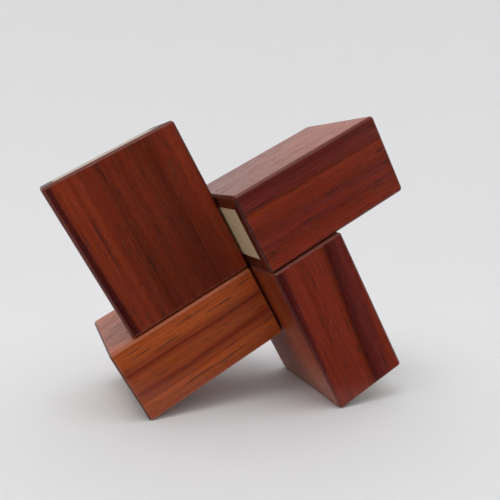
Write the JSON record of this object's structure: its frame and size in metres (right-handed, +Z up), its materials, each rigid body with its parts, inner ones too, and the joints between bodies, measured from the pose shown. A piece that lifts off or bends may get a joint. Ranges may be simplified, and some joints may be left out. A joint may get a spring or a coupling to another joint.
{
  "type": "wooden burr puzzle",
  "caption": "Pinwheel burr puzzle of equal rectangular wooden arms that slide apart on hidden square keys.",
  "frame": {"origin": "centre of the bounding box's base, on the surface that the puzzle's two resting edges touch", "axes": "+Z up, +X to the right across the pinwheel, +Y away from the front faces of the two right arms. The pinwheel's arms run along X and Z turned 26.413 degrees about -Y."},
  "size_m": [0.1248, 0.07, 0.1069],
  "materials": {
    "red_hardwood": "oiled red-brown hardwood like padauk, satin",
    "pale_hardwood": "pale close-grained hardwood like maple, sanded"
  },
  "bodies": {
    "lower_left_arm": {"lower_left_front_board": "red_hardwood", "lower_left_back_board": "red_hardwood", "lower_left_top_board": "red_hardwood", "lower_left_bottom_board": "red_hardwood", "lower_left_core": "pale_hardwood", "lower_left_key": "pale_hardwood"},
    "lower_right_arm": {"lower_right_front_board": "red_hardwood", "lower_right_back_board": "red_hardwood", "lower_right_left_board": "red_hardwood", "lower_right_right_board": "red_hardwood", "lower_right_core": "pale_hardwood", "lower_right_key": "pale_hardwood"},
    "upper_left_arm": {"upper_left_front_board": "red_hardwood", "upper_left_back_board": "red_hardwood", "upper_left_outer_board": "red_hardwood", "upper_left_inner_board": "red_hardwood", "upper_left_core": "pale_hardwood", "upper_left_key": "pale_hardwood"},
    "upper_right_arm": {"upper_right_front_board": "red_hardwood", "upper_right_back_board": "red_hardwood", "upper_right_top_board": "red_hardwood", "upper_right_bottom_board": "red_hardwood", "upper_right_core": "pale_hardwood", "upper_right_key": "pale_hardwood"}
  },
  "joints": [
    {"name": "lower_right_slide", "type": "slide", "parent": "lower_left_arm", "child": "lower_right_arm", "axis": [0.8956, 0, 0.4448], "range_m": [0, 0.012]},
    {"name": "upper_left_slide", "type": "slide", "parent": "lower_left_arm", "child": "upper_left_arm", "axis": [-0.4448, 0, 0.8956], "range_m": [0, 0.012]},
    {"name": "upper_right_slide", "type": "slide", "parent": "lower_right_arm", "child": "upper_right_arm", "axis": [-0.4448, 0, 0.8956], "range_m": [0, 0.012]}
  ],
  "couplings": [
    {"joint": "upper_right_slide", "follows": "upper_left_slide", "ratio": 1}
  ]
}
